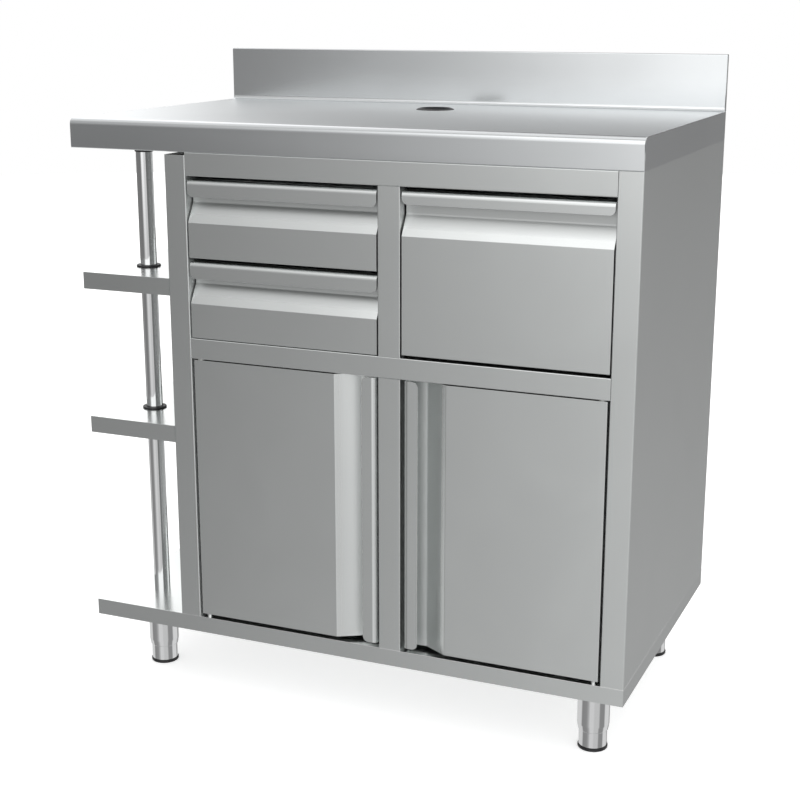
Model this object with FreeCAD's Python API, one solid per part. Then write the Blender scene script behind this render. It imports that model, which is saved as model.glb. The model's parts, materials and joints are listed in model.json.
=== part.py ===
import FreeCAD, Part

import math
import os

# Waiter service station in folded stainless sheet. Millimetres.
# +X is to the right, +Y to the back, +Z up; the origin is on the floor under the middle of the worktop.

# Overall sizes
WORKTOP_LENGTH = 1028.0
WORKTOP_DEPTH = 600.0
WORKING_HEIGHT = 1050.0
LEG_HEIGHT = 120.0
OPEN_BAY_WIDTH = 190.0

# Sheet metal
SHEET = 1.2
BEND = 0.3
CRISP_BEND = 1.5
TIGHT_BEND = 0.0
PAN_EDGE = 0.6
EDGE_FOLD = 32.0
SMALL_FOLD = 20.0

# Worktop
WORKTOP_SHEET = 1.5
FASCIA_HEIGHT = 52.0
NOSE_RADIUS = 10.5
COVE_RADIUS = 8.0
UPSTAND_HEIGHT = 103.0
UPSTAND_THICKNESS = 10.0
SKIRT_LIP = 18.0
END_ROUND = 1.0
GROMMET_HOLE_RADIUS = 30.0
GROMMET_FROM_BACK = 160.0
GROMMET_WALL = 2.2
GROMMET_FLANGE = 5.5
GROMMET_RISE = 3.0
GROMMET_SEAT_DEPTH = 0.5
GROMMET_SEAT_CLEARANCE = 0.5
GROMMET_LENGTH = 16.0
HAT_WIDTH = 40.0
HAT_HEIGHT = 25.0
HAT_FLANGE = 15.0
STIFFENERS_FROM_FRONT = (170.0, 350.0)
POST_CHANNEL_WIDTH = 60.0

# Carcass
STILE_WIDTH = 40.0
TOP_RAIL_HEIGHT = 40.0
DRAWER_OPENING_HEIGHT = 283.5
MIDDLE_RAIL_HEIGHT = 36.5
LEFT_PANEL_DROP = 5.0
INNER_WALL_DROP = 8.0
PANEL_TOP_FOLD = 25.0
DECK_THICKNESS = 15.0
TRAY_THICKNESS = 30.0
TRAY_SHEET = 1.5
TRAY_SETBACK = 6.4
TRAY_LIP = 15.0
SIDE_SHELF_SETBACK = 12.0
SIDE_SHELF_THICKNESS = 30.5
SIDE_SHELF_DROPS = {"upper_side_shelf": 272.2, "lower_side_shelf": 539.8}
CUPBOARD_SHELF_RISE = 240.0
CUPBOARD_SHELF_THICKNESS = 25.0
CUPBOARD_SHELF_SETBACK = 50.0
CUPBOARD_SHELF_GAP = 1.0
SUPPORT_WIDTH = 24.0
SUPPORT_LEDGE = 16.0
SUPPORT_INSET = 60.0

# Drawers
PANEL_SETBACK = 1.2
DRAWER_SIDE_GAP = 2.5
DRAWER_TOP_GAP = 6.25
SMALL_DRAWER_BOTTOM_GAP = 0.9
LARGE_DRAWER_BOTTOM_GAP = 5.0
GRIP_HEIGHT = 73.85
GRIP_SLOPE_HEIGHT = 34.4
GRIP_DEPTH = 20.0
GRIP_BEND = 8.0
SMALL_LIP_HEIGHT = 29.55
LARGE_LIP_HEIGHT = 22.25
LIP_BEND = 7.8
LIP_CORNER = 10.0
BOX_SHEET = 1.0
BOX_RISE = 8.0
BOX_DROP = 32.25
BOX_REAR_CLEARANCE = 78.0
RUNNER_SPACE = 13.0
RUNNER_HEIGHT = 45.0
RUNNER_RISE = 40.0
RUNNER_GAP = 0.6
RUNNER_LIP_GAP = 0.9
RUNNER_START = 4.0

# Doors
DOOR_SIDE_GAP = 4.0
DOOR_TOP_GAP = 2.0
DOOR_BOTTOM_GAP = 7.0
DOOR_FREE_GAP = 4.2
DOOR_LIP_WIDTH = 27.1
DOOR_CHANNEL_WIDTH = 77.4
DOOR_SLOPE_WIDTH = 41.0
DOOR_CHANNEL_DEPTH = 24.0
LINER_FOLD = 10.0
PIVOT_FROM_STILE = 14.0
PIVOT_DEPTH = 10.0
PIN_RADIUS = 3.0
PIN_ENGAGEMENT = 10.0
PIN_CLEARANCE = 0.05
BUSH_WALL = 2.0
BUSH_LENGTH = 12.0
BUSH_FLANGE = 1.5
SEAT_GAP = 0.3
MAGNET_WIDTH = 25.0
MAGNET_DEPTH = 11.0
MAGNET_HEIGHT = 50.0
MAGNET_GAP = 0.5

# Posts and legs
POST_RADIUS = 15.0
POST_WALL = 1.5
POST_HOLE_CLEARANCE = 0.5
COLLAR_WIDTH = 7.0
COLLAR_HEIGHT = 3.0
COLLAR_CHAMFER = 1.5
CAP_LENGTH = 14.0
CAP_WALL = 1.2
CAP_FLARE = 6.0
LEFT_LEG_INSET = 79.6
LEFT_LEG_FROM_FRONT = 101.0
RIGHT_LEG_INSET = 70.0
RIGHT_LEG_FROM_FRONT = 78.0
REAR_LEG_FROM_BACK = 96.0
SLEEVE_SWELL = 1.7
SLEEVE_WALL = 1.5
SLEEVE_END = 35.0
SLEEVE_TAPER = 10.0
FOOT_RADIUS = 24.5
FOOT_LENGTH_INSIDE = 37.0
STEM_RADIUS = 6.0
STEM_LENGTH = 55.0
PLUG_THICKNESS = 15.0
PAD_RIM = 1.5
PAD_HEIGHT = 5.5
LEG_PLATE = 90.0
LEG_PLATE_THICKNESS = 3.0
LEG_PLATE_CORNER = 8.0

# Places that follow from the sizes
LEFT = -WORKTOP_LENGTH / 2
RIGHT = WORKTOP_LENGTH / 2
FRONT = -WORKTOP_DEPTH / 2
BACK = WORKTOP_DEPTH / 2
BODY_LEFT = LEFT + OPEN_BAY_WIDTH
BAY_WIDTH = (RIGHT - BODY_LEFT - 3 * STILE_WIDTH) / 2
LEFT_BAY = (BODY_LEFT + STILE_WIDTH, BODY_LEFT + STILE_WIDTH + BAY_WIDTH)
RIGHT_BAY = (LEFT_BAY[1] + STILE_WIDTH, RIGHT - STILE_WIDTH)
BODY_MIDDLE = (LEFT_BAY[1] + RIGHT_BAY[0]) / 2
UNDERSIDE = WORKING_HEIGHT - WORKTOP_SHEET
BODY_TOP = WORKING_HEIGHT - FASCIA_HEIGHT
DRAWER_TOP = BODY_TOP - TOP_RAIL_HEIGHT
DRAWER_FLOOR = DRAWER_TOP - DRAWER_OPENING_HEIGHT
DOOR_HEAD = DRAWER_FLOOR - MIDDLE_RAIL_HEIGHT
TRAY_TOP = LEG_HEIGHT + TRAY_THICKNESS
TRAY_LEFT = LEFT + TRAY_SETBACK
FOLD_END = FRONT + EDGE_FOLD
PANEL_FACE = FRONT + PANEL_SETBACK
BACK_PANEL_FACE = BACK - SHEET
BACK_PANEL_INSIDE = BACK_PANEL_FACE - SHEET
COLLAR_RADIUS = POST_RADIUS + COLLAR_WIDTH
CAP_BOTTOM_RADIUS = POST_RADIUS + CAP_WALL
CAP_TOP_RADIUS = POST_RADIUS + CAP_FLARE
SLEEVE_RADIUS = FOOT_RADIUS + SEAT_GAP + SLEEVE_WALL + SLEEVE_SWELL
PAD_RADIUS = FOOT_RADIUS + PAD_RIM
LEFT_LEG_X = TRAY_LEFT + LEFT_LEG_INSET
RIGHT_LEG_X = RIGHT - RIGHT_LEG_INSET
REAR_LEG_Y = BACK - REAR_LEG_FROM_BACK
LEG_PLACES = {
    "front_left": (LEFT_LEG_X, FRONT + LEFT_LEG_FROM_FRONT),
    "front_right": (RIGHT_LEG_X, FRONT + RIGHT_LEG_FROM_FRONT),
    "rear_left": (LEFT_LEG_X, REAR_LEG_Y),
    "rear_right": (RIGHT_LEG_X, REAR_LEG_Y),
}
POST_PLACES = {"front_post": LEG_PLACES["front_left"], "rear_post": LEG_PLACES["rear_left"]}
SMALL_FRONT_HEIGHT = (DRAWER_OPENING_HEIGHT - 2 * DRAWER_TOP_GAP - SMALL_DRAWER_BOTTOM_GAP) / 2
BOX_START = PANEL_FACE + GRIP_DEPTH + SHEET
BOX_END = BACK - BOX_REAR_CLEARANCE
DOOR_THICKNESS = DOOR_CHANNEL_DEPTH + 2 * SHEET
DOOR_BOTTOM = TRAY_TOP + DOOR_BOTTOM_GAP
DOOR_TOP = DOOR_HEAD - DOOR_TOP_GAP

TOLERANCE = 1e-4
MATERIAL_LEFT = 1
MATERIAL_RIGHT = -1


# Geometry helpers

def vec(x, y, z=0.0):
    return FreeCAD.Vector(x, y, z)


UP = vec(0, 0, 1)
VIEWS = {
    "plan": (lambda u, v, w: vec(u, v, w), vec(0, 0, 1)),
    "side": (lambda u, v, w: vec(w, u, v), vec(1, 0, 0)),
    "front": (lambda u, v, w: vec(u, w, v), vec(0, 1, 0)),
}


def block(x0, x1, y0, y1, z0, z1):
    return Part.makeBox(x1 - x0, y1 - y0, z1 - z0, vec(x0, y0, z0))


def upright_cylinder(radius, x, y, z0, z1):
    return Part.makeCylinder(radius, z1 - z0, vec(x, y, z0), UP)


def fused(solids):
    return solids[0].multiFuse(solids[1:]).removeSplitter()


def edges_at(solid, **levels):
    """Edges whose ends all lie at the given x, y or z levels."""
    return [
        edge for edge in solid.Edges
        if all(abs(getattr(vertex.Point, axis) - level) < TOLERANCE
               for vertex in edge.Vertexes for axis, level in levels.items())
    ]


def unit(vector):
    return vector * (1.0 / vector.Length)


def round_of_corner(before, corner, after, radius):
    """Start, middle and end of the arc that rounds one corner of a path."""
    back = unit(before - corner)
    ahead = unit(after - corner)
    half_turn = (math.pi - back.getAngle(ahead)) / 2
    reach = radius * math.tan(half_turn)
    bisector = unit(back + ahead)
    centre = corner + bisector * (radius / math.cos(half_turn))
    return corner + back * reach, centre - bisector * radius, corner + ahead * reach


def rounded_path(points, radii, place):
    """Edges of a path in one view, with an arc at each inner corner that has a radius."""
    edges = []
    here = points[0]
    for before, corner, after, radius in zip(points, points[1:], points[2:], radii):
        if radius == 0:
            edges.append(Part.LineSegment(place(here), place(corner)).toShape())
            here = corner
            continue
        start, middle, end = round_of_corner(before, corner, after, radius)
        edges.append(Part.LineSegment(place(here), place(start)).toShape())
        edges.append(Part.Arc(place(start), place(middle), place(end)).toShape())
        here = end
    edges.append(Part.LineSegment(place(here), place(points[-1])).toShape())
    return edges


def turns_of(points):
    """+1 for each corner that turns left and -1 for each that turns right."""
    turns = []
    for before, corner, after in zip(points, points[1:], points[2:]):
        rise = (corner - before).cross(after - corner).z
        turns.append(1 if rise > 0 else -1)
    return turns


def offset_path(points, distance):
    """The path moved sideways by a distance, to the left if it is positive."""
    normals = []
    for start, end in zip(points, points[1:]):
        run = unit(end - start)
        normals.append(vec(-run.y, run.x))
    moved = [points[0] + normals[0] * distance]
    for corner, first, second in zip(points[1:], normals, normals[1:]):
        moved.append(corner + (first + second) * (distance / (1 + first.dot(second))))
    moved.append(points[-1] + normals[-1] * distance)
    return moved


def folded_sheet(path, inner_radii, side, view, start, length, thickness=SHEET):
    """Sheet folded along a path that is one of its faces, with a bend of its own radius at each corner."""
    to_space, direction = VIEWS[view]

    def place(point):
        return to_space(point.x, point.y, start)

    points = [vec(u, v) for u, v in path]
    near_radii = []
    far_radii = []
    for turn, radius in zip(turns_of(points), inner_radii):
        near_radii.append(radius + thickness if turn == side else radius)
        far_radii.append(radius if turn == side else radius + thickness)
    far_points = offset_path(points, side * thickness)[::-1]
    edges = rounded_path(points, near_radii, place)
    edges.append(Part.LineSegment(place(points[-1]), place(far_points[0])).toShape())
    edges += rounded_path(far_points, far_radii[::-1], place)
    edges.append(Part.LineSegment(place(far_points[-1]), place(points[0])).toShape())
    return Part.Face(Part.Wire(edges)).extrude(direction * length)


def plate(path, radii, view, start, thickness):
    """Flat plate with a closed outline; radii round the inner corners of the path."""
    to_space, direction = VIEWS[view]

    def place(point):
        return to_space(point.x, point.y, start)

    points = [vec(u, v) for u, v in path]
    edges = rounded_path(points, radii, place)
    edges.append(Part.LineSegment(place(points[-1]), place(points[0])).toShape())
    return Part.Face(Part.Wire(edges)).extrude(direction * thickness)


def folded_pan(x0, x1, y0, y1, z0, z1, open_side, thickness=SHEET, lip=0.0):
    """Shallow pan with crisp folds, and an inward lip around its open side if one is given."""
    if open_side == "bottom":
        closed, low, high, rim_level = z1, z0 - 1, z1 - thickness, z0
    else:
        closed, low, high, rim_level = z0, z0 + thickness, z1 + 1, z1 - thickness
    outer = block(x0, x1, y0, y1, z0, z1)
    outer = outer.makeFillet(PAN_EDGE, edges_at(outer, z=closed))
    inner = block(x0 + thickness, x1 - thickness, y0 + thickness, y1 - thickness, low, high)
    pan = outer.cut(inner)
    if lip == 0:
        return pan
    rim = block(x0, x1, y0, y1, rim_level, rim_level + thickness)
    rim = rim.cut(block(x0 + lip, x1 - lip, y0 + lip, y1 - lip, rim_level - 1, rim_level + thickness + 1))
    return fused([pan, rim])


def turned(profile, x, y):
    """Body turned about an upright axis from the (radius, height) corners of its section."""
    corners = [vec(radius, 0, height) for radius, height in profile + profile[:1]]
    solid = Part.Face(Part.makePolygon(corners)).revolve(vec(0, 0, 0), UP, 360)
    solid.translate(vec(x, y, 0))
    return solid


# Worktop

def worktop_outline():
    """Section of the worktop's visible face, from the front lip over the top to the rear lip."""
    upstand_face = BACK - UPSTAND_THICKNESS
    crest = WORKING_HEIGHT + UPSTAND_HEIGHT
    path = [
        (FRONT + SKIRT_LIP, BODY_TOP), (FRONT, BODY_TOP), (FRONT, WORKING_HEIGHT),
        (upstand_face, WORKING_HEIGHT), (upstand_face, crest), (BACK, crest),
        (BACK, BODY_TOP), (BACK - SKIRT_LIP, BODY_TOP),
    ]
    return path, [BEND, NOSE_RADIUS, COVE_RADIUS, BEND, BEND, BEND]


def worktop():
    path, radii = worktop_outline()
    skin = folded_sheet(path, radii, MATERIAL_RIGHT, "side", LEFT, WORKTOP_LENGTH, WORKTOP_SHEET)
    outer_radii = [radius + WORKTOP_SHEET for radius in radii]
    outer_radii[2] = COVE_RADIUS
    pieces = [skin]
    for end in (LEFT, RIGHT - WORKTOP_SHEET):
        pieces.append(plate(path, outer_radii, "side", end, WORKTOP_SHEET))
    lip_run = (FRONT + WORKTOP_SHEET, BACK - WORKTOP_SHEET, BODY_TOP, BODY_TOP + WORKTOP_SHEET)
    pieces.append(block(LEFT, LEFT + SKIRT_LIP, *lip_run))
    pieces.append(block(RIGHT - SKIRT_LIP, RIGHT, *lip_run))
    body = grommet_seat(fused(pieces))
    ends = [edge for end in (LEFT, RIGHT) for edge in edges_at(body, x=end)
            if edge.BoundBox.ZMax > BODY_TOP + WORKTOP_SHEET]
    return body.makeChamfer(END_ROUND, ends)


def grommet_seat(sheet):
    """Round hole in a shallow pressed seat, which lets the brim of the grommet into the worktop."""
    y = BACK - GROMMET_FROM_BACK
    seat = GROMMET_HOLE_RADIUS + GROMMET_FLANGE + GROMMET_SEAT_CLEARANCE
    level = WORKING_HEIGHT - GROMMET_SEAT_DEPTH
    pressed = upright_cylinder(seat + WORKTOP_SHEET, 0, y, level - WORKTOP_SHEET, UNDERSIDE)
    recess = upright_cylinder(seat, 0, y, level, WORKING_HEIGHT + 1)
    hole = upright_cylinder(GROMMET_HOLE_RADIUS, 0, y, level - WORKTOP_SHEET - 1, WORKING_HEIGHT)
    return fused([sheet, pressed]).cut(recess).cut(hole)


def cable_grommet():
    bore = GROMMET_HOLE_RADIUS - GROMMET_WALL
    brim = GROMMET_HOLE_RADIUS + GROMMET_FLANGE
    seat = WORKING_HEIGHT - GROMMET_SEAT_DEPTH
    crown = WORKING_HEIGHT + GROMMET_RISE
    profile = [
        (bore, WORKING_HEIGHT - GROMMET_LENGTH), (GROMMET_HOLE_RADIUS, WORKING_HEIGHT - GROMMET_LENGTH),
        (GROMMET_HOLE_RADIUS, seat), (brim, seat), (brim, WORKING_HEIGHT + GROMMET_RISE / 4),
        (bore + GROMMET_WALL, crown), (bore, crown),
    ]
    return turned(profile, 0, BACK - GROMMET_FROM_BACK)


def hat_channel(middle, width, low, view, start, length):
    """Hat section whose flanges lie against the underside of the worktop."""
    path = [
        (middle - width / 2 - HAT_FLANGE, UNDERSIDE), (middle - width / 2, UNDERSIDE),
        (middle - width / 2, low + SHEET), (middle + width / 2, low + SHEET),
        (middle + width / 2, UNDERSIDE), (middle + width / 2 + HAT_FLANGE, UNDERSIDE),
    ]
    return folded_sheet(path, [TIGHT_BEND] * 4, MATERIAL_RIGHT, view, start, length)


def worktop_stiffeners():
    start = LEFT_LEG_X + POST_CHANNEL_WIDTH / 2 + 2 * HAT_FLANGE
    length = RIGHT - SKIRT_LIP / 2 - start
    return [hat_channel(FRONT + offset, HAT_WIDTH, UNDERSIDE - HAT_HEIGHT, "side", start, length)
            for offset in STIFFENERS_FROM_FRONT]


def post_channel():
    start = FRONT + NOSE_RADIUS + 2 * WORKTOP_SHEET
    length = BACK - 2 * WORKTOP_SHEET - start
    return hat_channel(LEFT_LEG_X, POST_CHANNEL_WIDTH, BODY_TOP + WORKTOP_SHEET, "front", start, length)


# Carcass

def side_panel(bay_edge, outer, top, side):
    """Panel folded with its front stile: return, stile, side wall and rear fold, and a top fold inside."""
    inward = 1 if bay_edge > outer else -1
    path = [
        (bay_edge, FOLD_END), (bay_edge, FRONT), (outer, FRONT),
        (outer, BACK), (outer + inward * SMALL_FOLD, BACK),
    ]
    wall = folded_sheet(path, [BEND] * 3, side, "plan", TRAY_TOP, top - TRAY_TOP)
    edges = sorted((outer + inward * SHEET / 2, outer + inward * PANEL_TOP_FOLD))
    fold = block(*edges, FOLD_END, BACK_PANEL_FACE - PANEL_TOP_FOLD - BEND, top - SHEET, top)
    return fused([wall, fold])


def inner_wall(bay_edge, outer, side):
    """Channel that lines one side of the cabinet and carries runners and shelf supports."""
    inward = 1 if bay_edge > outer else -1
    hidden = outer + inward * SHEET
    path = [(hidden, FOLD_END), (bay_edge, FOLD_END), (bay_edge, BACK_PANEL_INSIDE),
            (hidden, BACK_PANEL_INSIDE)]
    height = BODY_TOP - INNER_WALL_DROP - TRAY_TOP
    return folded_sheet(path, [TIGHT_BEND] * 2, side, "plan", TRAY_TOP, height)


def centre_partition():
    path = [(LEFT_BAY[1], BACK_PANEL_INSIDE), (LEFT_BAY[1], FOLD_END), (RIGHT_BAY[0], FOLD_END),
            (RIGHT_BAY[0], BACK_PANEL_INSIDE)]
    start = DOOR_HEAD + DECK_THICKNESS
    return folded_sheet(path, [TIGHT_BEND] * 2, MATERIAL_LEFT, "plan", start,
                        BODY_TOP - INNER_WALL_DROP - start)


def back_panel():
    path = [(BACK_PANEL_FACE - PANEL_TOP_FOLD, BODY_TOP), (BACK_PANEL_FACE, BODY_TOP),
            (BACK_PANEL_FACE, TRAY_TOP)]
    inside = SHEET + BEND
    start = BODY_LEFT + inside
    return folded_sheet(path, [BEND], MATERIAL_RIGHT, "side", start, RIGHT - inside - start)


def rail(top, bottom):
    """Front rail between the two stiles, folded back at its top and bottom."""
    path = [(FOLD_END, top), (FRONT, top), (FRONT, bottom), (FOLD_END, bottom)]
    return folded_sheet(path, [BEND] * 2, MATERIAL_LEFT, "side", LEFT_BAY[0],
                        RIGHT_BAY[1] - LEFT_BAY[0])


def mullion(bottom, top):
    path = [(LEFT_BAY[1], FOLD_END), (LEFT_BAY[1], FRONT), (RIGHT_BAY[0], FRONT),
            (RIGHT_BAY[0], FOLD_END)]
    return folded_sheet(path, [BEND] * 2, MATERIAL_LEFT, "plan", bottom, top - bottom)


def dividing_deck():
    return folded_pan(LEFT_BAY[0], RIGHT_BAY[1], FOLD_END, BACK_PANEL_INSIDE,
                      DOOR_HEAD, DOOR_HEAD + DECK_THICKNESS, "bottom")


def base_tray():
    return folded_pan(TRAY_LEFT, RIGHT, FRONT, BACK, LEG_HEIGHT, TRAY_TOP, "bottom",
                      TRAY_SHEET, TRAY_LIP)


def side_shelf(drop):
    """Shelf of the open bay, pierced for the two posts."""
    top = WORKING_HEIGHT - drop
    shelf = folded_pan(LEFT + SIDE_SHELF_SETBACK, BODY_LEFT, FRONT, BACK,
                       top - SIDE_SHELF_THICKNESS, top, "bottom", lip=TRAY_LIP)
    for x, y in POST_PLACES.values():
        shelf = shelf.cut(upright_cylinder(POST_RADIUS + POST_HOLE_CLEARANCE, x, y,
                                           top - SIDE_SHELF_THICKNESS - 1, top + 1))
    return shelf


def cupboard_shelf():
    top = TRAY_TOP + CUPBOARD_SHELF_RISE
    return folded_pan(LEFT_BAY[0] + CUPBOARD_SHELF_GAP, RIGHT_BAY[1] - CUPBOARD_SHELF_GAP,
                      FRONT + CUPBOARD_SHELF_SETBACK, BACK_PANEL_INSIDE - CUPBOARD_SHELF_GAP,
                      top - CUPBOARD_SHELF_THICKNESS, top, "bottom", lip=TRAY_LIP)


def shelf_supports():
    """Angle clips on the inner walls, one near each corner of the cupboard shelf."""
    ledge = TRAY_TOP + CUPBOARD_SHELF_RISE - CUPBOARD_SHELF_THICKNESS
    clips = []
    for wall, inward in ((LEFT_BAY[0], 1), (RIGHT_BAY[1], -1)):
        path = [(wall, ledge - SUPPORT_WIDTH), (wall, ledge), (wall + inward * SUPPORT_LEDGE, ledge)]
        side = MATERIAL_RIGHT if inward > 0 else MATERIAL_LEFT
        for start in (FRONT + CUPBOARD_SHELF_SETBACK + SUPPORT_INSET,
                      BACK - SUPPORT_INSET - SUPPORT_WIDTH):
            clips.append(folded_sheet(path, [TIGHT_BEND], side, "front", start, SUPPORT_WIDTH))
    return clips


# Posts

def post(x, y):
    low = TRAY_TOP
    high = BODY_TOP + WORKTOP_SHEET
    tube = upright_cylinder(POST_RADIUS, x, y, low, high)
    return tube.cut(upright_cylinder(POST_RADIUS - POST_WALL, x, y, low - 1, high + 1))


def post_collars():
    """Rings that close the gap around each post on top of the side shelves."""
    rings = []
    inside = POST_RADIUS + PIN_CLEARANCE
    for drop in SIDE_SHELF_DROPS.values():
        level = WORKING_HEIGHT - drop
        top = level + COLLAR_HEIGHT
        profile = [(inside, level), (COLLAR_RADIUS, level), (COLLAR_RADIUS, top - COLLAR_CHAMFER),
                   (COLLAR_RADIUS - COLLAR_CHAMFER, top), (inside, top)]
        rings += [turned(profile, x, y) for x, y in POST_PLACES.values()]
    return rings


def post_caps():
    """Cups around the post tops, against the underside of the post channel."""
    inside = POST_RADIUS + PIN_CLEARANCE
    high = BODY_TOP + WORKTOP_SHEET
    profile = [(inside, high - CAP_LENGTH), (CAP_BOTTOM_RADIUS, high - CAP_LENGTH),
               (CAP_TOP_RADIUS, high), (inside, high)]
    return [turned(profile, x, y) for x, y in POST_PLACES.values()]


# Legs

def leg_sleeve(x, y):
    """Mounting plate, tube drawn in at its lower end, and the plug that guides the foot's stem."""
    high = TRAY_TOP - TRAY_SHEET - LEG_PLATE_THICKNESS
    inside = SLEEVE_RADIUS - SLEEVE_WALL
    mouth = FOOT_RADIUS + SEAT_GAP
    taper = SLEEVE_END + SLEEVE_TAPER
    plug = SLEEVE_END + FOOT_LENGTH_INSIDE + SEAT_GAP
    stem_hole = STEM_RADIUS + SEAT_GAP
    profile = [
        (mouth, SLEEVE_END), (mouth + SLEEVE_WALL, SLEEVE_END), (SLEEVE_RADIUS, taper),
        (SLEEVE_RADIUS, high), (inside, high), (inside, plug + PLUG_THICKNESS),
        (stem_hole, plug + PLUG_THICKNESS), (stem_hole, plug), (inside, plug), (inside, taper),
    ]
    half = LEG_PLATE / 2
    flange = block(x - half, x + half, y - half, y + half, high, high + LEG_PLATE_THICKNESS)
    corners = [edge for i in (-half, half) for j in (-half, half)
               for edge in edges_at(flange, x=x + i, y=y + j)]
    return fused([turned(profile, x, y), flange.makeChamfer(LEG_PLATE_CORNER, corners)])


def foot(x, y):
    """Adjustable foot: a cylinder inside the sleeve with a threaded stem above it."""
    shoulder = SLEEVE_END + FOOT_LENGTH_INSIDE
    profile = [(0, PAD_HEIGHT), (FOOT_RADIUS, PAD_HEIGHT), (FOOT_RADIUS, shoulder),
               (STEM_RADIUS, shoulder), (STEM_RADIUS, shoulder + STEM_LENGTH), (0, shoulder + STEM_LENGTH)]
    return turned(profile, x, y)


def foot_pad(x, y):
    return upright_cylinder(PAD_RADIUS, x, y, 0, PAD_HEIGHT)


# Drawers

def drawer_front(bay, bottom, top, lip_height):
    """Front folded from one sheet: panel, slope into the grip, grip wall, rounded head and hanging lip."""
    start = bay[0] + DRAWER_SIDE_GAP
    end = bay[1] - DRAWER_SIDE_GAP
    slope_foot = top - GRIP_HEIGHT
    throat = slope_foot + GRIP_SLOPE_HEIGHT
    rear = BOX_START + BOX_SHEET
    floor = PANEL_FACE + GRIP_DEPTH
    panel = [(rear, bottom), (PANEL_FACE, bottom), (PANEL_FACE, slope_foot), (floor, throat)]
    grip = [(floor, top - SHEET), (PANEL_FACE + SHEET, top - SHEET), (PANEL_FACE + SHEET, top - lip_height)]
    radii = [BEND, CRISP_BEND, GRIP_BEND, BEND, LIP_BEND]
    pieces = [folded_sheet(panel + grip, radii, MATERIAL_RIGHT, "side", start, end - start)]
    shoulder = top - BEND - 2 * SHEET
    closure = panel + [(floor, shoulder), (rear, shoulder)]
    closure_radii = [BEND + SHEET, CRISP_BEND + SHEET, GRIP_BEND, 0]
    for edge in (start, end - SHEET):
        pieces.append(plate(closure, closure_radii, "side", edge, SHEET))
    front = fused(pieces)
    corners = [edge for x in (start, end) for edge in edges_at(front, x=x, z=top - lip_height)]
    return front.makeFillet(LIP_CORNER, corners)


def drawer_box(bay, bottom, top):
    """Tray between the runners; its front wall reaches into the folds of the drawer front."""
    tray = folded_pan(bay[0] + RUNNER_SPACE, bay[1] - RUNNER_SPACE, BOX_START, BOX_END,
                      bottom + BOX_RISE, top - BOX_DROP, "top", BOX_SHEET)
    inside = DRAWER_SIDE_GAP + SHEET
    wings = block(bay[0] + inside, bay[1] - inside, BOX_START, BOX_START + BOX_SHEET,
                  bottom + SHEET, top - BOX_DROP)
    return fused([tray, wings])


def runner_member(path, bends, side, bay, bottom):
    """One runner member on each side of a bay; the path is measured from the wall and the runner's axis."""
    middle = bottom + BOX_RISE + RUNNER_RISE
    start = BOX_START + RUNNER_START
    members = []
    for wall, inward in ((bay[0], 1), (bay[1], -1)):
        placed = [(wall + inward * away, middle + rise) for away, rise in path]
        members.append(folded_sheet(placed, [TIGHT_BEND] * bends, side * inward, "front", start,
                                    BOX_END - RUNNER_START - start))
    return members


def outer_runner(bay, bottom):
    """Channel fixed to the cabinet wall, with lips that keep the middle member in."""
    reach = RUNNER_SPACE - SHEET - SEAT_GAP
    half = RUNNER_HEIGHT / 2
    lip = half - 2 * (SHEET + RUNNER_GAP) + RUNNER_LIP_GAP
    path = [(reach, lip), (reach, half), (0, half), (0, -half), (reach, -half), (reach, -lip)]
    return runner_member(path, 4, MATERIAL_LEFT, bay, bottom)


def middle_runner(bay, bottom):
    near = SHEET + RUNNER_GAP
    reach = RUNNER_SPACE - 2 * SHEET - SEAT_GAP - RUNNER_GAP
    half = RUNNER_HEIGHT / 2 - SHEET - RUNNER_GAP
    path = [(reach, half), (near, half), (near, -half), (reach, -half)]
    return runner_member(path, 2, MATERIAL_LEFT, bay, bottom)


def inner_runner(bay, bottom):
    near = 2 * SHEET + 3 * RUNNER_GAP
    half = RUNNER_HEIGHT / 2 - 2 * (SHEET + RUNNER_GAP)
    path = [(near, half), (RUNNER_SPACE, half), (RUNNER_SPACE, -half), (near, -half)]
    return runner_member(path, 2, MATERIAL_RIGHT, bay, bottom)


def drawers():
    """Bay, bottom, top and lip height of each drawer front."""
    upper_top = DRAWER_TOP - DRAWER_TOP_GAP
    upper_bottom = upper_top - SMALL_FRONT_HEIGHT
    lower_top = upper_bottom - DRAWER_TOP_GAP
    return {
        "upper_drawer": (LEFT_BAY, upper_bottom, upper_top, SMALL_LIP_HEIGHT),
        "lower_drawer": (LEFT_BAY, lower_top - SMALL_FRONT_HEIGHT, lower_top, SMALL_LIP_HEIGHT),
        "deep_drawer": (RIGHT_BAY, DRAWER_FLOOR + LARGE_DRAWER_BOTTOM_GAP, upper_top, LARGE_LIP_HEIGHT),
    }


# Doors: built for the left bay, and mirrored in the middle of the body for the right one

def mirrored(solid):
    return solid.mirror(vec(BODY_MIDDLE, 0, 0), vec(1, 0, 0))


def door_edges():
    """Hinge edge, start of the grip's slope, its deep end, and the free edge of the left door."""
    hinge = LEFT_BAY[0] + DOOR_SIDE_GAP
    free = LEFT_BAY[1] - DOOR_FREE_GAP
    slope = free - DOOR_CHANNEL_WIDTH
    return hinge, slope, slope + DOOR_SLOPE_WIDTH, free


def pivot_place():
    return LEFT_BAY[0] + PIVOT_FROM_STILE, PANEL_FACE + PIVOT_DEPTH


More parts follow.
